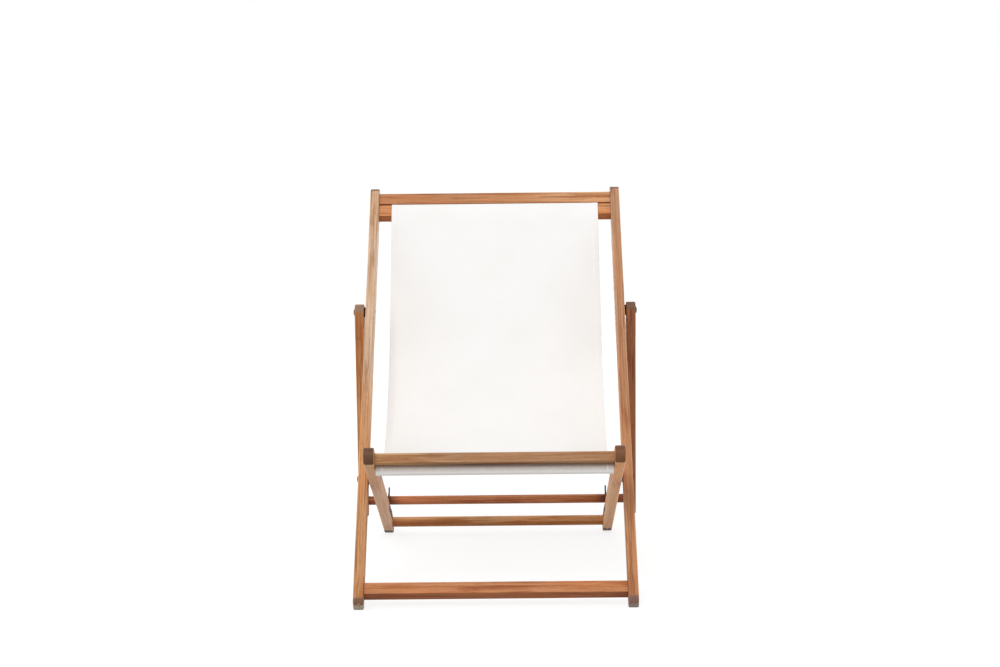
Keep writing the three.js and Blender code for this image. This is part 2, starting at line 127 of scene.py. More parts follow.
class Shader:
    """The node tree of a material or a world, with short calls that add and link nodes.

    A range is the two values between which something comes in. Where it has four numbers,
    the last two are what it comes in from and to."""

    def __init__(self, owner):
        owner.use_nodes = True
        self.owner = owner
        self.tree = owner.node_tree
        self.tree.nodes.clear()

    def add(self, kind, inputs=None, **settings):
        """A new node. Each input is linked, where it is a socket, or set."""
        node = self.tree.nodes.new(kind)
        for key, value in settings.items():
            setattr(node, key, value)
        for key, value in (inputs or {}).items():
            if isinstance(value, bpy.types.NodeSocket):
                self.tree.links.new(value, node.inputs[key])
            else:
                node.inputs[key].default_value = value
        return node

    def math(self, operation, first, second=0.0):
        """A number worked out from one or two."""
        return self.add("ShaderNodeMath", {0: first, 1: second}, operation=operation).outputs[0]

    def vector(self, operation, first, second):
        """A vector worked out from two."""
        inputs = {0: first, 1: second}
        return self.add("ShaderNodeVectorMath", inputs, operation=operation).outputs["Vector"]

    def split(self, vector):
        """A vector's three parts."""
        return self.add("ShaderNodeSeparateXYZ", {0: vector}).outputs

    def turned(self, vector, turn, kind="POINT"):
        """A vector, turned about the three axes."""
        inputs = {"Vector": vector, "Rotation": turn}
        return self.add("ShaderNodeMapping", inputs, vector_type=kind).outputs[0]

    def noise(self, place, kind, output="Fac"):
        """A noise. Its kind is its scale each way, per metre, its detail and its roughness."""
        scale, detail, roughness = kind
        vector = self.vector("MULTIPLY", place, scale)
        inputs = {"Vector": vector, "Scale": 1.0, "Detail": detail, "Roughness": roughness}
        return self.add("ShaderNodeTexNoise", inputs).outputs[output]

    def span(self, value, low, high, to_low=0.0, to_high=1.0):
        """A number that eases from to_low, where the value is low, to to_high, where it is high."""
        inputs = {0: value, 1: low, 2: high, 3: to_low, 4: to_high}
        node = self.add("ShaderNodeMapRange", inputs, interpolation_type="SMOOTHSTEP")
        return node.outputs[0]

    def mix(self, share, first, second, blend="MIX"):
        """The first colour, with a share of the second one in it."""
        inputs = {0: share, 6: first, 7: second}
        return self.add("ShaderNodeMix", inputs, data_type="RGBA", blend_type=blend).outputs[2]

    def tint(self, share, colour, tone):
        """A colour, multiplied by a share of a tone."""
        return self.mix(share, colour, tone, "MULTIPLY")

    def stain(self, value, colour, stain, strength=1.0):
        """A colour, tinted where a value lies in a stain's range. A stain is its tone,
        its range and its full share."""
        tone, (low, high), full = stain
        return self.tint(self.span(value, low, high, 0, full * strength), colour, tone)

    def finish(self, colour, roughness, height, bump, fixed):
        """The surface itself. bump is a strength and a depth, and fixed holds the sockets
        that are the same all over."""
        strength, distance = bump
        relief = {"Height": height, "Strength": strength, "Distance": distance}
        normal = self.add("ShaderNodeBump", relief).outputs[0]
        inputs = {"Base Color": colour, "Roughness": roughness, "Normal": normal}
        surface = self.add("ShaderNodeBsdfPrincipled", {**inputs, **fixed})
        self.add("ShaderNodeOutputMaterial", {"Surface": surface.outputs[0]})
        return self.owner


def linear(red, green, blue):
    """An sRGB colour, 0 to 255, as the linear colour that a socket takes."""
    def one(value):
        share = value / 255
        return share / 12.92 if share <= 0.04045 else ((share + 0.055) / 1.055) ** 2.4
    return (one(red), one(green), one(blue), 1.0)


# Wood: growth rings round a pith line outside the piece, streaks, fibres, pores and end grain.
# The noises are scaled across the grain, twice, and along it
WAVE_RADIANS_PER_METRE = 20
RING_SPACING = 4.6 * MM
LATE_WOOD_POWER = 3.0
PITH_RANGES = ((0.03, 0.07), (0.02, 0.05), (-5, 5))
WANDER = ((14, 14, 2.2), 2, 0.5)
WANDER_REACH = (0.02, 0.02, 0)
FIBRES = ((800, 800, 10), 3, 0.6)
STREAKS = ((190, 190, 4), 3, 0.55)
FLAMES = ((80, 80, 5), 3, 0.55)
PORES = ((1500, 1500, 60), 1, 0.5)
PORE_RANGE = (0.62, 0.7)
PATCHES = ((30, 30, 5), 2, 0.5)

# Each stain and tint multiplies the tone under it
WARM_STAIN = ((1.0, 0.88, 0.76, 1), (0.35, 0.65), 1.0)
FLAME_STAIN = ((0.66, 0.5, 0.4, 1), (0.52, 0.64), 0.85)
SAP_STAIN = ((1.12, 1.14, 1.1, 1), (0.44, 0.34), 0.7)
STREAK_STAIN = ((0.7, 0.56, 0.44, 1), (0.47, 0.68), 0.8)
PALE_STAIN = ((1.14, 1.16, 1.18, 1), (0.4, 0.65), 1.0)
GREY_END_STAIN = ((0.8, 0.86, 0.95, 1), (0.35, 0.6), 1.0)
SOLE_STAIN = ((0.78, 0.76, 0.74, 1), (0.35, 0.65), 1.0)
RING_TINT = (0.66, 0.52, 0.42, 1)
RING_SHARE = 0.55
END_RING_SHARE = 0.6
PORE_TINT = (0.5, 0.4, 0.34, 1)
PORE_SHARE = 0.7
# Painted shade on the undersides of the slats and dowels
UNDERSIDE_SHADE_TINT = (0.72, 0.58, 0.44, 1)
# Lighter arrises: wear, with a painted highlight
WORN_HIGHLIGHT_TINT = (1.16, 1.18, 1.2, 1)
CORNER_RANGE = (0.3, 0.5)
WEAR_HIGHLIGHT_RANGE = (0.3, 0.6, 0.2, 0.9)
END_RANGE = (0.1, 0.32)

# A foot's band of another tone towards the floor: how far its edge wavers and creeps along the streaks, and how
# softly it ends
SOLE_WAVER = 6 * MM
SOLE_CREEP = 24 * MM
SOLE_FADE = 4 * MM

RING_RELIEF = 0.5
WOOD_ROUGHNESS = (0.2, 0.8, 0.46, 0.64)
WOOD_BUMP = (0.35, 0.25 * MM)
WOOD_GLOSS = {"Specular IOR Level": 0.22}


def wood(name, turn, seed, look, edges_worn_and_highlit):
    """Oiled hardwood. turn brings the grain onto Z and, where the piece lies across,
    its underside onto +X."""
    shader = Shader(bpy.data.materials.new(name))
    rng = random.Random(seed)
    pith = [rng.uniform(low, high) for low, high in PITH_RANGES]
    coords = shader.add("ShaderNodeTexCoord").outputs
    along = shader.turned(coords["Object"], turn)
    place = shader.vector("ADD", along, pith)

    wander = shader.noise(place, WANDER, "Color")
    bent = shader.vector("ADD", place, shader.vector("MULTIPLY", wander, WANDER_REACH))
    rings = shader.add(
        "ShaderNodeTexWave",
        {"Vector": bent, "Scale": 2 * math.pi / (WAVE_RADIANS_PER_METRE * RING_SPACING)},
        wave_type="RINGS",
        rings_direction="Z",
        wave_profile="SAW",
    ).outputs["Fac"]
    late = shader.math("POWER", rings, LATE_WOOD_POWER)
    fibres = shader.noise(place, FIBRES)
    streaks = shader.noise(place, STREAKS)
    flames = shader.noise(bent, FLAMES)
    pores = shader.span(shader.noise(place, PORES), *PORE_RANGE)
    patches = shader.noise(place, PATCHES)

    # The long faces
    length = shader.split(along)[2]
    if look["mirrored"]:
        length = shader.math("ABSOLUTE", length)
    figure = look["figure"]
    colour = shader.mix(shader.span(length, *look["fade"]), look["near"], look["far"])
    colour = shader.stain(patches, colour, WARM_STAIN)
    colour = shader.stain(flames, colour, FLAME_STAIN, figure)
    colour = shader.stain(flames, colour, SAP_STAIN, figure)
    colour = shader.stain(streaks, colour, STREAK_STAIN, figure)
    colour = shader.tint(shader.math("MULTIPLY", late, RING_SHARE * figure), colour, RING_TINT)
    colour = shader.stain(fibres, colour, PALE_STAIN)
    colour = shader.tint(shader.math("MULTIPLY", pores, PORE_SHARE), colour, PORE_TINT)

    # The underside, darkened as painted shade, and the edges, lightened as wear with a painted highlight, found by
    # the way that they face
    facing = shader.split(shader.turned(coords["Normal"], turn, "NORMAL"))
    if look["underside"]:
        colour = shader.tint(shader.span(facing[0], *look["underside"]), colour, UNDERSIDE_SHADE_TINT)
    if edges_worn_and_highlit:
        # Lighter arrises, as wear in patches and as a painted highlight
        corner = shader.math("ABSOLUTE", shader.math("MULTIPLY", facing[0], facing[1]))
        wear_and_highlight = shader.span(patches, *WEAR_HIGHLIGHT_RANGE)
        worn = shader.math("MULTIPLY", shader.span(corner, *CORNER_RANGE), wear_and_highlight)
        colour = shader.tint(worn, colour, WORN_HIGHLIGHT_TINT)

    # The ends
    end = shader.stain(flames, look["end"], GREY_END_STAIN)
    end = shader.tint(shader.math("MULTIPLY", late, END_RING_SHARE), end, RING_TINT)
    end = shader.tint(pores, end, PORE_TINT)
    at_end = shader.span(shader.math("ABSOLUTE", facing[2]), *END_RANGE)
    colour = shader.mix(at_end, colour, end)

    # The foot, by its height over the floor
    if look["sole"]:
        off_floor = shader.split(coords["Object"])[2]
        waver = shader.math("MULTIPLY", flames, SOLE_WAVER)
        creep = shader.math("MULTIPLY", shader.math("SUBTRACT", streaks, 0.5), SOLE_CREEP)
        uneven = shader.math("ADD", shader.math("ADD", off_floor, waver), creep)
        on_floor = shader.span(uneven, look["sole_height"], look["sole_height"] + SOLE_FADE, 1, 0)
        colour = shader.mix(on_floor, colour, shader.stain(fibres, look["sole"], SOLE_STAIN))

    relief = shader.math("SUBTRACT", fibres, pores)
    relief = shader.math("SUBTRACT", relief, shader.math("MULTIPLY", late, RING_RELIEF))
    roughness = shader.span(fibres, *WOOD_ROUGHNESS)
    return shader.finish(colour, roughness, relief, WOOD_BUMP, WOOD_GLOSS)


def wood_look(near, end, far=None, fade=(0.0, 1.0), **others):
    """A piece's tones, from sRGB colours: of its long faces, near and far along the grain,
    with fade as the places where the near one ends and the far one begins, and of its ends.
    mirrored fades both ways from the middle, figure is the strength of the grain, underside says where painted
    shade darkens the underside, and sole is the tone of a foot up to sole_height."""
    look = {"near": linear(*near), "far": linear(*(far or near)), "end": linear(*end), "fade": fade}
    look |= {"mirrored": False, "figure": 1.0, "underside": None, "sole": None, "sole_height": 0.0}
    return look | others


# Canvas: a plain weave laid out on the cloth's own coordinates, with a seam along each side hem
WEAVE_PITCH = 0.9 * MM
STITCH_PITCH = 3.6 * MM
STITCH_WIDTH = 0.7 * MM
STITCH_INSET = 12 * MM
STITCH_END_RANGE = (0.3, 0.42, 1, 0)
CLOTH_PLACE = "cloth_place"
WARP_SLUBS = ((1100, 60, 1), 2, 0.5)
WEFT_SLUBS = ((60, 1100, 1), 2, 0.5)
CLOTH_PATCHES = ((7, 7, 1), 3, 0.5)
CANVAS_LIGHT = linear(246, 245, 244)
CANVAS_DEEP = linear(243, 242, 240)
DEEP_RANGE = (0.35, 0.7)
# Painted shade: the cloth's seat part is a little darker, along its length
CANVAS_SEAT_SHADE = linear(236, 235, 232)
SEAT_SHADE_RANGE = (0.5, 0.85, 0, 0.5)
CANVAS_THREAD = linear(238, 236, 233)
THREAD_RANGE = (0.7, 1.35, 0, 0.35)
# Painted shade in the hollows between the weave's crowns
CANVAS_GAP_SHADE = linear(222, 219, 215)
GAP_SHADE_RANGE = (0.0, 0.35, 0.18, 0.0)
CANVAS_STITCH = linear(250, 248, 244)
# Painted shade in the sunken holes between stitches
CANVAS_HOLE_SHADE = linear(190, 184, 176)
HOLE_SHADE_SHARE = 0.5

# Painted shade on the lower hem, where it lies under the front bar: how far before the cloth's end it begins and
# is full, and its full share
CANVAS_HEM_SHADE = linear(184, 172, 165)
HEM_SHADE_REACH = (38 * MM, 30 * MM)
HEM_SHADE_SHARE = 0.85

SLUB_RELIEF = 0.4
STITCH_RELIEF = 3.0
CANVAS_ROUGHNESS = (0.7, 1.3, 0.82, 0.95)
CANVAS_BUMP = (0.3, 0.12 * MM)
CANVAS_GLOSS = {"Specular IOR Level": 0.2, "Sheen Weight": 0.05}


def canvas(half_width, length):
    """Off-white plain-weave canvas with a row of stitches along each side hem.
    cloth_place holds each point's place on the flat cloth."""
    shader = Shader(bpy.data.materials.new("canvas"))
    place = shader.add("ShaderNodeAttribute", attribute_name=CLOTH_PLACE).outputs["Vector"]
    flat = shader.split(place)
    threads = shader.split(shader.vector("MULTIPLY", place, (1 / WEAVE_PITCH, 1 / WEAVE_PITCH, 1)))
    warp = shader.math("SINE", shader.math("MULTIPLY", threads[0], math.pi))
    weft = shader.math("SINE", shader.math("MULTIPLY", threads[1], math.pi))
    crowns = shader.math("ABSOLUTE", shader.math("MULTIPLY", warp, weft))
    slubs = shader.math("ADD", shader.noise(place, WARP_SLUBS), shader.noise(place, WEFT_SLUBS))
    patches = shader.noise(place, CLOTH_PATCHES)

    from_edge = shader.math("SUBTRACT", half_width, shader.math("ABSOLUTE", flat[0]))
    off_row = shader.math("ABSOLUTE", shader.math("SUBTRACT", from_edge, STITCH_INSET))
    in_row = shader.span(off_row, STITCH_WIDTH / 2, STITCH_WIDTH, 1, 0)
    step = shader.math("FRACT", shader.math("MULTIPLY", flat[1], 1 / STITCH_PITCH))
    off_stitch = shader.math("ABSOLUTE", shader.math("SUBTRACT", step, 0.5))
    stitch = shader.math("MULTIPLY", in_row, shader.span(off_stitch, *STITCH_END_RANGE))
    hole = shader.math("SUBTRACT", in_row, stitch)

    colour = shader.mix(shader.span(patches, *DEEP_RANGE), CANVAS_LIGHT, CANVAS_DEEP)
    # Painted shade on the seat part of the cloth
    colour = shader.mix(shader.span(flat[1], *SEAT_SHADE_RANGE), colour, CANVAS_SEAT_SHADE)
    # Painted shade on the lower hem under the front bar
    hem_shade_from, hem_shade_full = (length - reach for reach in HEM_SHADE_REACH)
    hem_shade = shader.span(flat[1], hem_shade_from, hem_shade_full, 0, HEM_SHADE_SHARE)
    colour = shader.mix(hem_shade, colour, CANVAS_HEM_SHADE)
    colour = shader.mix(shader.span(slubs, *THREAD_RANGE), colour, CANVAS_THREAD)
    # Painted shade in the hollows between the weave's crowns
    colour = shader.mix(shader.span(crowns, *GAP_SHADE_RANGE), colour, CANVAS_GAP_SHADE)
    colour = shader.mix(stitch, colour, CANVAS_STITCH)
    # Painted shade in the sunken holes between stitches
    colour = shader.mix(shader.math("MULTIPLY", hole, HOLE_SHADE_SHARE), colour, CANVAS_HOLE_SHADE)

    height = shader.math("ADD", crowns, shader.math("MULTIPLY", slubs, SLUB_RELIEF))
    height = shader.math("ADD", height, shader.math("MULTIPLY", stitch, STITCH_RELIEF))
    height = shader.math("SUBTRACT", height, shader.math("MULTIPLY", hole, STITCH_RELIEF))
    roughness = shader.span(slubs, *CANVAS_ROUGHNESS)
    return shader.finish(colour, roughness, height, CANVAS_BUMP, CANVAS_GLOSS)


# Metal: each finish has a base tone and a worn one, and its roughness lies between two values
BLOTCHES = ((180, 180, 180), 4, 0.6)
SCRATCHES = ((250, 2600, 2600), 2, 0.5)
BLOTCH_RANGE = (0.45, 0.75, 0, 0.7)
SCRATCH_RANGE = (0.6, 0.72, 0, 0.35)
PLATE_EDGE_RANGE = (0.35, 0.6, 1, 0)
WORN_EDGE_HIGHLIGHT_RANGE = (0.3, 0.5, 0.4, 0.9)
SKIN_RANGE = (0.3, 0.7)
SCRATCH_RELIEF = 0.3
METAL_BUMP = (0.2, 0.1 * MM)
BRONZE_TONES = (linear(58, 42, 35), linear(94, 74, 62))
PLATE_TONES = (linear(62, 42, 34), linear(94, 70, 58))
WORN_EDGE_HIGHLIGHT_TONE = linear(118, 112, 106)
BRONZE_ROUGHNESS = (0.62, 0.8)
BRONZE_GLOSS = {"Metallic": 0.25, "Specular IOR Level": 0.1, "Specular Tint": (0.5, 0.38, 0.3, 1)}
ZINC_TONES = (linear(128, 124, 120), linear(166, 162, 156))
ZINC_ROUGHNESS = (0.28, 0.46)
ZINC_GLOSS = {"Metallic": 0.9}
SPIKE_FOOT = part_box("ratchet_plate_left")[1].z - 17 * MM
SPIKE_FADE = 2 * MM


def metal(name, tones, between, gloss, worn_edge_highlight=None):
    """A worn metal finish: blotches of tone, fine scratches and a rougher skin between them.
    Its last argument is the tone of a flat plate's edges, whose normals don't lie along x, below its spike: wear
    with a painted highlight."""
    base, worn = tones
    shader = Shader(bpy.data.materials.new(name))
    coords = shader.add("ShaderNodeTexCoord").outputs
    blotches = shader.noise(coords["Object"], BLOTCHES)
    scratches = shader.noise(coords["Object"], SCRATCHES)
    colour = shader.mix(shader.span(blotches, *BLOTCH_RANGE), base, worn)
    colour = shader.mix(shader.span(scratches, *SCRATCH_RANGE), colour, worn)
    # Pale plate edges: wear, with a painted highlight
    if worn_edge_highlight:
        facing = shader.math("ABSOLUTE", shader.split(coords["Normal"])[0])
        edge = shader.span(facing, *PLATE_EDGE_RANGE)
        edge = shader.math("MULTIPLY", edge, shader.span(blotches, *WORN_EDGE_HIGHLIGHT_RANGE))
        height = shader.split(coords["Object"])[2]
        below = shader.span(height, SPIKE_FOOT - SPIKE_FADE, SPIKE_FOOT, 1, 0)
        colour = shader.mix(shader.math("MULTIPLY", edge, below), colour, worn_edge_highlight)
    roughness = shader.span(blotches, *SKIN_RANGE, *between)
    relief = shader.math("ADD", blotches, shader.math("MULTIPLY", scratches, SCRATCH_RELIEF))
    return shader.finish(colour, roughness, relief, METAL_BUMP, gloss)


def tilt_of(direction):
    """The turn about x that stands a direction of the side view upright."""
    return math.pi / 2 - math.atan2(direction.y, direction.x)


# Turns that bring each piece's grain onto Z: about x by its frame, then about y where it lies across
BACK_TURN = tilt_of(back_up)
SEAT_TURN = tilt_of(seat_front)
PROP_TURN = tilt_of(prop_up)
LEVEL = 0
ALONG = 0
ACROSS = -math.pi / 2

# Where the tones of the back rails and of the seat rails fade, each along its own rails
BACK_FOOT = side_view(middle("foot_slat")).dot(back_up)
BACK_TOP = side_view(middle("top_slat_upper")).dot(back_up)
RAIL_FADE = (lerp(BACK_FOOT, BACK_TOP, 0.3), lerp(BACK_FOOT, BACK_TOP, 0.6))
SEAT_NOSE = side_view(middle("seat_front_bar")).dot(seat_front)
NOSE_FADE = (SEAT_NOSE - 32 * MM, SEAT_NOSE - 2 * MM)

# How far a face looks down where the painted shade on its underside begins and where it is full
FLAT_UNDERSIDE_SHADE = (0.5, 0.8)
ROUND_UNDERSIDE_SHADE = (-0.3, 0.2)

PALE_SOLE = linear(184, 172, 149)
GREY_SOLE = linear(161, 141, 130)
DARK_SOLE = linear(82, 55, 31)
BROWN_SOLE = linear(112, 76, 52)
LEFT_RAIL = wood_look(
    (193, 147, 105), (138, 98, 74), (204, 176, 150), RAIL_FADE, sole=PALE_SOLE, sole_height=13 * MM
)
RIGHT_RAIL = wood_look(
    (187, 136, 97), (142, 106, 90), (183, 142, 112), RAIL_FADE, sole=GREY_SOLE, sole_height=13 * MM
)
LEFT_SEAT_RAIL = wood_look(
    (216, 174, 140), (109, 75, 53), (214, 172, 126), NOSE_FADE,
    figure=0.35, sole=DARK_SOLE, sole_height=12 * MM
)
RIGHT_SEAT_RAIL = wood_look(
    (232, 183, 139), (126, 84, 52), (226, 178, 124), NOSE_FADE,
    figure=0.35, sole=BROWN_SOLE, sole_height=12 * MM
)
LEFT_LEG = wood_look((192, 142, 94), (166, 126, 97))
# The right leg is darker than the left as painted shade, where the right rail shadows it
SHADED_RIGHT_LEG = wood_look((150, 101, 72), (122, 86, 63))
UPPER_SLAT = wood_look((187, 133, 94), (120, 84, 60), (213, 166, 125), (0, 0.2), underside=FLAT_UNDERSIDE_SHADE)
LOWER_SLAT = wood_look((212, 152, 107), (120, 84, 60), underside=FLAT_UNDERSIDE_SHADE)
FOOT_SLAT = wood_look((193, 133, 91), (112, 78, 54), underside=FLAT_UNDERSIDE_SHADE)
FRONT_BAR = wood_look((200, 161, 116), (112, 78, 54), (170, 130, 96), (-0.2, -0.05))
# The prop dowel's far tone is painted shade on both ends, by the rails and legs, and its underside has half the
# painted shade
PROP_DOWEL_SHADED = wood_look(
    (211, 142, 100), (104, 70, 50), (156, 102, 72), (0.205, 0.235),
    mirrored=True, underside=(*ROUND_UNDERSIDE_SHADE, 0, 0.5)
)
REAR_DOWEL = wood_look((222, 172, 124), (104, 70, 50), underside=ROUND_UNDERSIDE_SHADE)
HEM_DOWEL = wood_look((178, 116, 74), (104, 70, 50))

# Each wooden piece: its two turns, the seed of its grain and its tones
WOODEN = {
    "outer_rail_left": (BACK_TURN, ALONG, 1, LEFT_RAIL),
    "outer_rail_right": (BACK_TURN, ALONG, 2, RIGHT_RAIL),
    "seat_rail_left": (SEAT_TURN, ALONG, 3, LEFT_SEAT_RAIL),
    "seat_rail_right": (SEAT_TURN, ALONG, 4, RIGHT_SEAT_RAIL),
    "prop_leg_left": (PROP_TURN, ALONG, 5, LEFT_LEG),
    "prop_leg_right": (PROP_TURN, ALONG, 6, SHADED_RIGHT_LEG),
    "top_slat_upper": (BACK_TURN, ACROSS, 7, UPPER_SLAT),
    "top_slat_lower": (BACK_TURN, ACROSS, 8, LOWER_SLAT),
    "foot_slat": (BACK_TURN, ACROSS, 9, FOOT_SLAT),
    "seat_front_bar": (SEAT_TURN, ACROSS, 10, FRONT_BAR),
    "seat_clamp_bar": (SEAT_TURN, ACROSS, 11, FRONT_BAR),
    "seat_rear_dowel": (LEVEL, ACROSS, 12, REAR_DOWEL),
    "prop_dowel": (LEVEL, ACROSS, 13, PROP_DOWEL_SHADED),
    "top_hem_dowel": (BACK_TURN, ACROSS, 14, HEM_DOWEL),
    "front_hem_dowel": (SEAT_TURN, ACROSS, 15, HEM_DOWEL),
}
DOWELS = ("seat_rear_dowel", "prop_dowel", "top_hem_dowel", "front_hem_dowel")
SMOOTH_BELOW = math.radians(32)
FLAT_WITHIN = math.radians(1)
WELD = 0.01 * MM
EASE = 0.4 * MM


def ease_edges(thing, width=EASE):
    """Rounds a CAD node's edges a little, by modifiers, so that they catch the light."""
    custom = thing.data.attributes.get("custom_normal")
    if custom:
        thing.data.attributes.remove(custom)
    thing.data.polygons.foreach_set("use_smooth", [True] * len(thing.data.polygons))
    weld = thing.modifiers.new("weld", "WELD")
    weld.merge_threshold = WELD
    flat = thing.modifiers.new("flat", "DECIMATE")
    flat.decimate_type = "DISSOLVE"
    flat.angle_limit = FLAT_WITHIN
    bevel = thing.modifiers.new("ease", "BEVEL")
    bevel.width = width
    bevel.segments = 2
    bevel.limit_method = "ANGLE"
    bevel.angle_limit = SMOOTH_BELOW
    bevel.harden_normals = True


def paint(thing, material):
    """Gives a whole object one material."""
    thing.data.materials.clear()
    thing.data.materials.append(material)


def finish_frame(bronze, zinc, plate):
    """Materials and eased edges for the CAD nodes that show as they are."""
    for name, (tilt, across, seed, look) in WOODEN.items():
        thing = frame["nodes"][name]
        paint(thing, wood(name + "_wood", (tilt, across, 0), seed, look, name not in DOWELS))
        ease_edges(thing)
    shown_metal = {"ratchet_plate": plate, "seat_pivot_washer": zinc, "prop_pivot_spacer": bronze}
    for name, thing in frame["nodes"].items():
        for start, material in shown_metal.items():
            if name.startswith(start):
                paint(thing, material)
                ease_edges(thing, EASE / 2)


# Fasteners: turned pieces with a driver's recess, each in its CAD node's place
BODY_OF = {
    node: body
    for body, nodes in frame["record"]["behaviour"]["bodies"].items()
    for node in nodes
}
SIDES = 48
CROSS_ARM = 0.3
HEXAGON_SOCKET = 2.3 * MM


def round_edge(_):
    """A circle's edge is at 1 all round."""
    return 1.0


def hexagon_edge(turn):
    """How far a hexagon's edge is from its middle, where its corners are at 1."""
    sector = math.pi / 3
    return math.cos(sector / 2) / math.cos(turn % sector - sector / 2)


def cross_edge(turn):
    """How far a cross's edge is from its middle, where its arms end at 1."""
    from_arm = (turn + math.pi / 4) % (math.pi / 2) - math.pi / 4
    across = abs(math.sin(from_arm))
    return min(1.0, CROSS_ARM / across) if across > 0 else 1.0


# Each fastener's rings are (depth, radius, edge), from the middle of its head inwards

def screw_rings(length, radius):
    """Countersunk screw."""
    socket, deep, shank = 0.56 * radius, 1.8 * MM, 0.48 * radius
    rim, head, tip = 0.25 * MM, 2.8 * MM, 3 * MM
    return [
        (deep, 0, round_edge),
        (deep, 0.5 * socket, cross_edge),
        (0.1 * MM, socket, cross_edge),
        (0, 1.08 * socket, cross_edge),
        (0, radius - rim, round_edge),
        (rim, radius, round_edge),
        (head, shank, round_edge),
        (length - tip, shank, round_edge),
        (length, 0, round_edge),
    ]


def plate_screw_rings(length, radius):
    """Pan-head screw."""
    socket, deep, shank = 0.6 * radius, 1.2 * MM, 1.7 * MM
    head, tip = 1.6 * MM, 2 * MM
    return [
        (deep, 0, round_edge),
        (deep, 0.5 * socket, cross_edge),
        (0, socket, cross_edge),
        (0.05 * MM, 0.66 * radius, round_edge),
        (0.3 * MM, 0.88 * radius, round_edge),
        (0.8 * MM, radius, round_edge),
        (head, radius, round_edge),
        (head, shank, round_edge),
        (length - tip, shank, round_edge),
        (length, 0, round_edge),
    ]


def bolt_rings(length, radius):
    """Bolt with a low domed head and a hexagon socket."""
    deep, shank, head, rim = 2 * MM, 4 * MM, 2.8 * MM, 0.8 * MM
    dome_start, dome_steps = math.asin(0.42), 7
    rings = [
        (deep, 0, round_edge),
        (deep, HEXAGON_SOCKET, hexagon_edge),
        (0.15 * MM, HEXAGON_SOCKET, hexagon_edge),
        (0.02 * MM, HEXAGON_SOCKET * 1.1, hexagon_edge),
    ]
    for step in range(dome_steps + 1):
        turn = lerp(dome_start, math.pi / 2, step / dome_steps)
        rings.append(((head - rim) * (1 - math.cos(turn)), radius * math.sin(turn), round_edge))
    return rings + [
        (head, radius, round_edge),
        (head, shank, round_edge),
        (length, shank, round_edge),
        (length, 0, round_edge),
    ]


def sleeve_nut_rings(length, radius):
    """Flanged sleeve nut with a hexagon socket in its closed face, and the bore for its bolt."""
    deep, flange, barrel, bore, grip = 1.8 * MM, 1.6 * MM, 5.6 * MM, 4.3 * MM, 6.3 * MM
    rim = 0.35 * MM
    return [
        (deep, 0, round_edge),
        (deep, HEXAGON_SOCKET, hexagon_edge),
        (0.1 * MM, HEXAGON_SOCKET, hexagon_edge),
        (0, HEXAGON_SOCKET * 1.1, hexagon_edge),
        (0, radius - rim, round_edge),
        (0.1 * MM, radius - 0.1 * MM, round_edge),
        (rim, radius, round_edge),
        (flange, radius, round_edge),
        (flange, barrel, round_edge),
        (length, barrel, round_edge),
        (length, bore, round_edge),
        (length - grip, bore, round_edge),
        (length - grip, 0, round_edge),
    ]


def turned_mesh(name, rings, place, outward):
    """A closed surface through rings about a line along x, whose first ring is its outer end."""
    made = bmesh.new()
    loops = []
    for depth, radius, edge in rings:
        x = place.x - outward * depth
        loop = []
        for side in range(SIDES if radius else 1):
            turn = 2 * math.pi * side / SIDES
            reach = radius * edge(turn)
            point = (x, place.y + reach * math.cos(turn), place.z + reach * math.sin(turn))
            loop.append(made.verts.new(point))
        loops.append(loop)
    for outer, inner in zip(loops, loops[1:]):
        for side in range(SIDES):
            after = (side + 1) % SIDES
            corners = [outer[side % len(outer)], outer[after % len(outer)]]
            corners += [inner[after % len(inner)], inner[side % len(inner)]]
            made.faces.new(list(dict.fromkeys(corners)))
    bmesh.ops.recalc_face_normals(made, faces=made.faces[:])
    mesh = bpy.data.meshes.new(name)
    made.to_mesh(mesh)
    made.free()
    mesh.polygons.foreach_set("use_smooth", [True] * len(mesh.polygons))
    mesh.set_sharp_from_angle(angle=SMOOTH_BELOW)
    return mesh


def add_fasteners(bronze, zinc):
    """A turned piece in place of each bolt, nut and screw."""
    # Each kind: how its name begins, its rings, metal and slot, and whether its head faces
    # outwards (1) or inwards (-1)
    kinds = [
        ("ratchet_screw", plate_screw_rings, zinc, "plain_steel", -1),
        ("seat_pivot_nut", sleeve_nut_rings, zinc, "plain_steel", -1),
        ("prop_pivot_sleeve_nut", sleeve_nut_rings, zinc, "plain_steel", -1),
        ("seat_pivot_bolt", bolt_rings, bronze, "bronzed_steel", 1),
        ("prop_pivot_bolt", bolt_rings, bronze, "bronzed_steel", 1),
    ]
    for node in frame["nodes"]:
        kind = next((kind for kind in kinds if node.startswith(kind[0])), None)
        if not kind and node.endswith(("_screw_left", "_screw_right")):
            kind = ("", screw_rings, zinc, "plain_steel", 1)
        if not kind:
            continue
        _, rings, material, slot, facing = kind
        size = size_of(node)
        centre = middle(node)
        outward = facing * math.copysign(1, centre.x)
        place = Vector((centre.x + outward * size.x / 2, centre.y, centre.z))
        name = node + "_turned"
        mesh = turned_mesh(name, rings(size.x, size.y / 2), place, outward)
        piece = bpy.data.objects.new(name, mesh)
        bpy.context.scene.collection.objects.link(piece)
        paint(piece, material)
        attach(piece, BODY_OF[node])
        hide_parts(node)


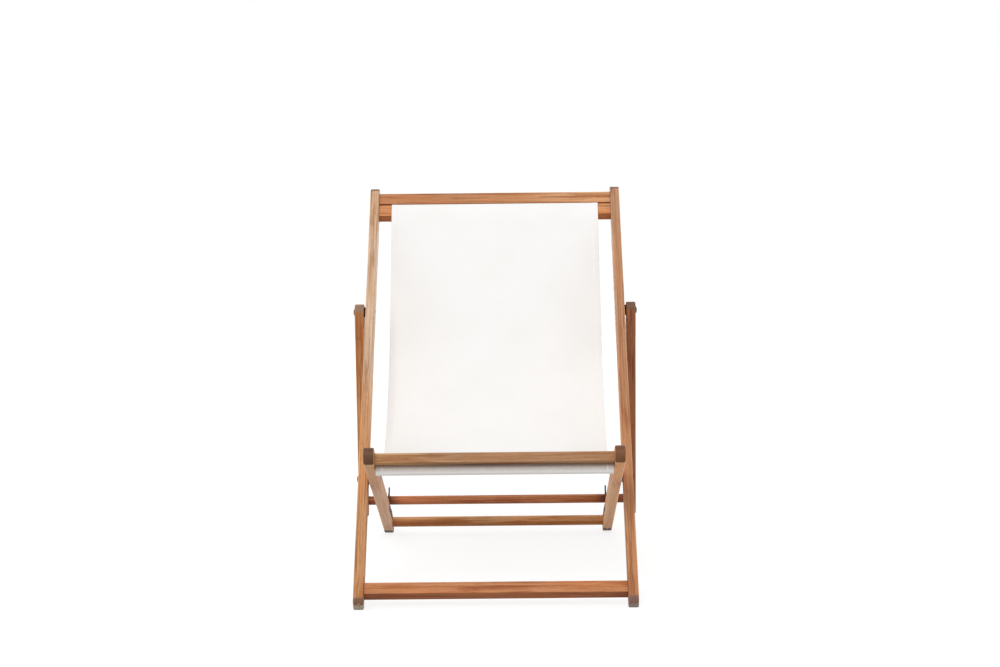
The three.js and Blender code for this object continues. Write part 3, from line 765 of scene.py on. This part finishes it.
# The sling: the sections of the bars that it passes, its own sizes, and the steps of its mesh
TOP_SLAT_RUN = 31 * MM
TOP_SLAT_DEPTH = 22 * MM
SEAT_BAR_RUN = 24 * MM
SEAT_BAR_DEPTH = 20 * MM
CAD_THICKNESS = 1.5 * MM
FIT_GAP = 0.3 * MM
CLOTH = 0.9 * MM
SIDE_HEM = 14 * MM
HEM_STEP = 1.2 * MM
HEM_LAYERS = 1.7
EDGE_STEP = 0.4 * MM
THIN_EDGE = 0.3 * MM
SAG = 200 * MM
BELLY = 6 * MM
BEND = 3.5 * MM
POCKET_NECK = 3 * MM
TOP_WIDTH_SHARE = 0.988
BEND_STEPS = 6
LOOP_STEPS = 22
SPAN_STEPS = 96
ACROSS_STEPS = 44

# The cloth's unevenness, as its scale across and along, its layer of the noise and its height in mm
SLOW_WAVES = (7, 5, 1.7, 1.6)
CREASES = (26, 4, 8.3, 0.7)
PUCKERS = (60, 12, 4.1, 0.5)
PUCKER_REACH = 0.05
PUCKER_RISE = 8


def quarter(centre, first, second):
    """Points of a quarter turn of the cloth about centre, from the first direction to the second."""
    points = []
    for step in range(BEND_STEPS + 1):
        turn = math.pi / 2 * step / BEND_STEPS
        points.append(centre + (first * math.cos(turn) + second * math.sin(turn)) * BEND)
    return points


def hem_loop(centre, inward, along, radius, mouth):
    """The cloth round a hem dowel: from the mouth of its pocket, round the dowel and back.
    inward points from the dowel to the slot, and along is the side that the loop starts on."""
    reach = (mouth - centre).dot(inward)
    tangent = math.acos(min(1.0, radius / reach))
    points = []
    for step in range(LOOP_STEPS + 1):
        turn = lerp(tangent, 2 * math.pi - tangent, step / LOOP_STEPS)
        points.append(centre + (inward * math.cos(turn) + along * math.sin(turn)) * radius)
    return points


def sling_line():
    """The cloth's middle line in the side view, from the lap of the upper hem
    to that of the lower one, and the numbers of its free span's first and last point."""
    lift = FIT_GAP + CAD_THICKNESS / 2
    lower = side_view(middle("top_slat_lower"))
    top_slot = (side_view(middle("top_slat_upper")) + lower) / 2
    clamp = side_view(middle("seat_clamp_bar"))
    front_slot = (side_view(middle("seat_front_bar")) + clamp) / 2
    top_dowel = side_view(middle("top_hem_dowel"))
    front_dowel = side_view(middle("front_hem_dowel"))
    top_radius = size_of("top_hem_dowel").z / 2 + FIT_GAP + CLOTH / 2
    front_radius = size_of("front_hem_dowel").z / 2 + FIT_GAP + CLOTH / 2
    layer = CLOTH / 2 + FIT_GAP / 3

    # Upper hem: the lap lies on the cloth's upper side in the slot, and the loop goes round the dowel
    top_mouth = top_dowel - back_rear * (top_radius + POCKET_NECK)
    lap_end = top_slot - back_rear * (TOP_SLAT_DEPTH / 2 - BEND) + back_up * layer
    lap_start = top_mouth + back_up * layer
    line = [lap_end, lerp(lap_end, lap_start, 0.5), lap_start]
    line += hem_loop(top_dowel, -back_rear, back_up, top_radius, top_mouth)
    line.append(top_mouth - back_up * layer)

    # Over the front edge of the lower slat
    face = -(TOP_SLAT_DEPTH / 2 + lift)
    corner = top_slot - back_up * (BEND + layer) + back_rear * (face + BEND)
    line += quarter(corner, back_up, -back_rear)

    # The free span, a parabola hung between the slat and the bars
    seat_face = SEAT_BAR_DEPTH / 2 + lift
    start = lower - back_up * (TOP_SLAT_RUN / 2) + back_rear * face
    end = clamp - seat_front * (SEAT_BAR_RUN / 2) + seat_top * seat_face
    first_free = len(line)
    for step in range(SPAN_STEPS + 1):
        share = step / SPAN_STEPS
        point = lerp(start, end, share)
        line.append(Vector((point.x, point.y - SAG * 4 * share * (1 - share))))
    last_free = len(line) - 1

    # Over the clamp bar and down through the slot
    corner = front_slot - seat_front * (BEND + layer) + seat_top * (seat_face - BEND)
    line += quarter(corner, seat_top, seat_front)

    # Lower hem: round its dowel, and the lap lies on the cloth's front side in the slot
    front_mouth = front_dowel + seat_top * (front_radius + POCKET_NECK)
    line.append(front_mouth - seat_front * layer)
    line += hem_loop(front_dowel, seat_top, -seat_front, front_radius, front_mouth)
    lap_start = front_mouth + seat_front * layer
    lap_end = front_slot + seat_top * (SEAT_BAR_DEPTH / 2 - BEND) + seat_front * layer
    line += [lap_start, lerp(lap_start, lap_end, 0.5), lap_end]
    return line, first_free, last_free


def column_places(half_width):
    """Places across the cloth: close together at the side hems, even between them."""
    hem = [0, EDGE_STEP, HEM_STEP, SIDE_HEM / 2, SIDE_HEM - HEM_STEP, SIDE_HEM, SIDE_HEM + HEM_STEP]
    inner = half_width - SIDE_HEM - HEM_STEP
    left = [-half_width + place for place in hem]
    right = [half_width - place for place in reversed(hem)]
    between = [lerp(-inner, inner, step / ACROSS_STEPS) for step in range(1, ACROSS_STEPS)]
    return left + between + right


def thickness_at(across, half_width):
    """Two pressed layers in the side hems, and one between them and at the very edge."""
    from_edge = half_width - abs(across)
    in_hem = THIN_EDGE <= from_edge <= SIDE_HEM
    return CLOTH * HEM_LAYERS if in_hem else CLOTH


def ripple(across, along, kind):
    """The height of one kind of unevenness at a place on the cloth."""
    across_scale, along_scale, layer, height = kind
    return noise.noise(Vector((across * across_scale, along * along_scale, layer))) * height * MM


def soft_height(across, along, share):
    """Small unevenness of the hanging cloth: slow waves, creases, and short puckers by the two hems."""
    hang = math.sin(math.pi * share)
    slow = ripple(across, along, SLOW_WAVES)
    creases = ripple(across, along, CREASES)
    pucker = ripple(across, along, PUCKERS)
    near_hem = math.exp(-share / PUCKER_REACH) + math.exp(-(1 - share) / PUCKER_REACH)
    return hang * (slow + creases) + pucker * min(1.0, near_hem) * min(1.0, hang * PUCKER_RISE)


def sling_points(line, first_free, last_free, places, half_width):
    """Each row across the cloth: its points on the upper and the lower face,
    their place across the chair, and their place on the flat cloth. Also the cloth's length."""
    rows = []
    travelled = 0.0
    for number, point in enumerate(line):
        before = line[max(number - 1, 0)]
        after = line[min(number + 1, len(line) - 1)]
        ahead = (after - before).normalized()
        normal = Vector((-ahead.y, ahead.x))
        if number:
            travelled += (point - before).length
        share = min(1.0, max(0.0, (number - first_free) / (last_free - first_free)))
        belly = BELLY * math.sin(math.pi * share)
        width_share = lerp(TOP_WIDTH_SHARE, 1, share)
        row = []
        for place in places:
            drop = belly * (1 - (place / half_width) ** 2)
            lift = soft_height(place, travelled, share)
            centre = point + normal * lift - Vector((0, drop))
            half = thickness_at(place, half_width) / 2
            faces = (centre + normal * half, centre - normal * half)
            row.append((*faces, place * width_share, (place, travelled, 0.0)))
        rows.append(row)
    return rows, travelled


def build_sling():
    """The cloth as one closed thin shell."""
    line, first_free, last_free = sling_line()
    half_width = size_of("sling").x / 2
    places = column_places(half_width)
    rows, length = sling_points(line, first_free, last_free, places, half_width)
    mesh = bpy.data.meshes.new("sling_cloth")
    shell = bmesh.new()
    upper, lower = (
        [[shell.verts.new((point[2], point[side].x, point[side].y)) for point in row] for row in rows]
        for side in (0, 1)
    )
    last_row = len(rows) - 1
    last_column = len(places) - 1
    for i in range(last_row):
        for j in range(last_column):
            shell.faces.new((upper[i][j], upper[i][j + 1], upper[i + 1][j + 1], upper[i + 1][j]))
            shell.faces.new((lower[i][j], lower[i + 1][j], lower[i + 1][j + 1], lower[i][j + 1]))

    # The narrow faces round the cloth's border, walked in the direction that turns them outwards
    border = [(i, 0) for i in range(last_row)]
    border += [(last_row, j) for j in range(last_column)]
    border += [(i, last_column) for i in range(last_row, 0, -1)]
    border += [(0, j) for j in range(last_column, 0, -1)]
    for (i, j), (next_i, next_j) in zip(border, border[1:] + border[:1]):
        shell.faces.new((upper[i][j], upper[next_i][next_j], lower[next_i][next_j], lower[i][j]))
    shell.to_mesh(mesh)
    shell.free()
    mesh.polygons.foreach_set("use_smooth", [True] * len(mesh.polygons))
    cloth_place = mesh.attributes.new(CLOTH_PLACE, "FLOAT_VECTOR", "POINT")
    one_face = [number for row in rows for point in row for number in point[3]]
    cloth_place.data.foreach_set("vector", one_face * 2)
    sling = bpy.data.objects.new("sling_cloth", mesh)
    bpy.context.scene.collection.objects.link(sling)
    paint(sling, canvas(half_width, length))
    return sling, length, half_width


def add_sling():
    """The cloth in place of the sling's plain solid, shaped round the back frame's slats and the seat frame's
    bars.
    """
    sling, length, half_width = build_sling()
    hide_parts("sling")
    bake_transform(sling)


# Floor and world: the floor lights the chair with one tone, and is seen with another and a glow
FLOOR_HALF = 30
FLOOR_TONE = 0.62
FLOOR_SHOWN = 0.25
FLOOR_GLOW = 0.8
SKY_LEVEL = 0.6


def shown_ray(shader):
    """1 for a ray that shows the background: from the camera, or by gloss or glass."""
    path = shader.add("ShaderNodeLightPath").outputs
    seen = shader.math("MAXIMUM", path["Is Camera Ray"], path["Is Glossy Ray"])
    return shader.math("MAXIMUM", seen, path["Is Transmission Ray"])


def grey(level):
    """A grey of one level."""
    return (level, level, level, 1)


def add_floor():
    """A plain floor: white where it is seen, apart from the chair's faint shadow."""
    mesh = bpy.data.meshes.new("floor")
    corners = [(-1, -1), (1, -1), (1, 1), (-1, 1)]
    mesh.from_pydata([(x * FLOOR_HALF, y * FLOOR_HALF, 0) for x, y in corners], [], [(0, 1, 2, 3)])
    floor = bpy.data.objects.new("floor", mesh)
    bpy.context.scene.collection.objects.link(floor)
    shader = Shader(bpy.data.materials.new("floor"))
    lighting = shader.add("ShaderNodeBsdfDiffuse", {"Color": grey(FLOOR_TONE)})
    shadowed = shader.add("ShaderNodeBsdfDiffuse", {"Color": grey(FLOOR_SHOWN)})
    glow = shader.add("ShaderNodeEmission", {"Color": WHITE, "Strength": FLOOR_GLOW})
    white = shader.add("ShaderNodeAddShader", {0: shadowed.outputs[0], 1: glow.outputs[0]})
    inputs = {0: shown_ray(shader), 1: lighting.outputs[0], 2: white.outputs[0]}
    mix = shader.add("ShaderNodeMixShader", inputs)
    shader.add("ShaderNodeOutputMaterial", {"Surface": mix.outputs[0]})
    paint(floor, shader.owner)


def add_world():
    """Soft light from all round, and plain white behind the chair."""
    world = bpy.data.worlds.new("studio")
    shader = Shader(world)
    light = shader.add("ShaderNodeBackground", {"Color": WHITE, "Strength": SKY_LEVEL})
    shown = shader.add("ShaderNodeBackground", {"Color": WHITE, "Strength": 1.0})
    inputs = {0: shown_ray(shader), 1: light.outputs[0], 2: shown.outputs[0]}
    mix = shader.add("ShaderNodeMixShader", inputs)
    shader.add("ShaderNodeOutputWorld", {"Surface": mix.outputs[0]})
    bpy.context.scene.world = world


# Lamps: a wide soft key from above, before and a little left of the chair, and soft boxes
# for its side faces and its back, each with its place and its watts
KEY_STRENGTH = 1.3
KEY_SPREAD = math.radians(35)
KEY_FROM = Vector((-0.25, -0.62, 0.75))
BOX_WIDTH = 2.4
BOX_HEIGHT = 1.8
BOX_AIM = Vector((0, 0, 0.45))
SOFT_BOXES = {
    "left_box": ((-2.6, -0.2, 0.9), 18),
    "right_box": ((2.6, -0.2, 0.9), 18),
    "rear_box": ((0, 3.2, 0.7), 30),
}


def add_sun():
    """The key light."""
    data = bpy.data.lights.new("soft_key", "SUN")
    data.energy = KEY_STRENGTH
    data.angle = KEY_SPREAD
    key = bpy.data.objects.new("soft_key", data)
    key.rotation_euler = KEY_FROM.to_track_quat("Z", "Y").to_euler()
    bpy.context.scene.collection.objects.link(key)


def add_soft_box(name, place, watts):
    """A large soft box that faces the chair."""
    data = bpy.data.lights.new(name, "AREA")
    data.shape = "RECTANGLE"
    data.size = BOX_WIDTH
    data.size_y = BOX_HEIGHT
    data.energy = watts
    lamp = bpy.data.objects.new(name, data)
    lamp.location = place
    inward = BOX_AIM - Vector(place)
    lamp.rotation_euler = inward.to_track_quat("-Z", "Y").to_euler()
    bpy.context.scene.collection.objects.link(lamp)


add_camera()
bronzed = metal("bronzed_steel", BRONZE_TONES, BRONZE_ROUGHNESS, BRONZE_GLOSS)
notched = metal("bronzed_plate", PLATE_TONES, BRONZE_ROUGHNESS, BRONZE_GLOSS, WORN_EDGE_HIGHLIGHT_TONE)
plain = metal("plain_steel", ZINC_TONES, ZINC_ROUGHNESS, ZINC_GLOSS)
finish_frame(bronzed, plain, notched)
add_sling()
add_fasteners(bronzed, plain)
add_floor()
add_world()
add_sun()
for box_name, (box_place, box_watts) in SOFT_BOXES.items():
    add_soft_box(box_name, box_place, box_watts)
bpy.context.scene.view_settings.view_transform = "Standard"
